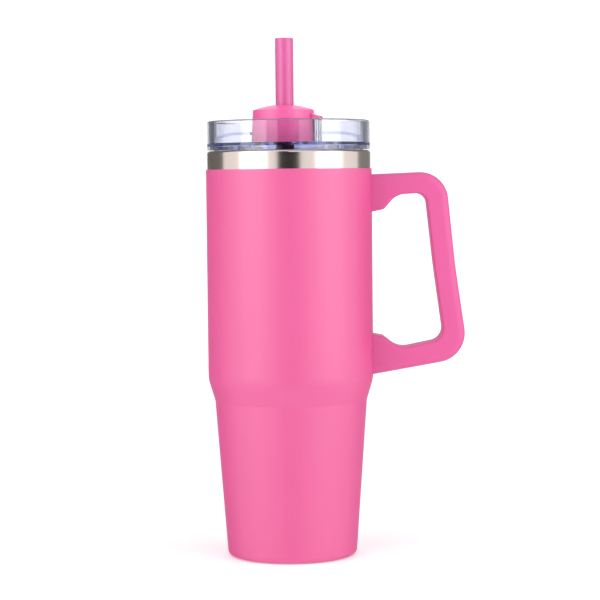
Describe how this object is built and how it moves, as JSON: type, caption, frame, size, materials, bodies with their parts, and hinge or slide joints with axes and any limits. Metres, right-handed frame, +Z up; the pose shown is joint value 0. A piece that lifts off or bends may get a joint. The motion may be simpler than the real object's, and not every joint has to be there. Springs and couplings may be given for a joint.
{
  "type": "insulated tumbler with lid",
  "caption": "Tall double-walled steel tumbler with tapered foot, side handle, clear press-in lid, turning cap over the sip port and a straight straw.",
  "frame": {"origin": "centre of the ring that the tumbler stands on", "axes": "+Z up along the vessel's axis, +X towards the handle"},
  "size_m": [0.1555, 0.1002, 0.3126],
  "materials": {
    "powder_coat": "satin powder coat with a fine grain",
    "steel": "fine circular brushing",
    "base_steel": "spun",
    "seal_glass": "dark solder glass",
    "getter_metal": "sintered",
    "handle_plastic": "fine moulded grain",
    "handle_soft": "soft touch",
    "clear_plastic": "clear, polished",
    "silicone": "translucent white silicone",
    "white_plastic": "moulded",
    "cap_plastic": "satin",
    "straw_plastic": "satin"
  },
  "bodies": {
    "vessel": {"outer_shell": "powder_coat", "inner_liner": "steel", "liner_bottom": "steel", "outer_base": "steel", "vacuum_seal": "seal_glass", "base_cover": "base_steel", "getter": "getter_metal", "getter_clip": "steel", "upper_boss": "steel", "lower_boss": "steel", "handle_frame": "handle_plastic", "handle_strip": "handle_soft", "handle_screws": "steel", "screw_plugs": "handle_soft"},
    "lid": {"lid_body": "clear_plastic", "lid_floor_plate": "clear_plastic", "lid_gasket": "silicone", "straw_grommet": "silicone", "retaining_ring": "white_plastic"},
    "cap": {"turning_cap": "cap_plastic", "cap_seal": "silicone", "port_pad": "silicone"},
    "straw": {"straw": "straw_plastic"}
  },
  "joints": [
    {"name": "lid_lift", "type": "slide", "parent": "vessel", "child": "lid", "axis": [0, 0, 1], "range_m": [0, 0.25]},
    {"name": "cap_turn", "type": "hinge", "parent": "lid", "child": "cap", "pos_m": [-0.0029, 0, 0.2694], "axis": [0, 0, 1], "range_deg": [-90, 90]},
    {"name": "straw_pull", "type": "slide", "parent": "lid", "child": "straw", "axis": [0, 0, 1], "range_m": [0, 0.27]}
  ]
}
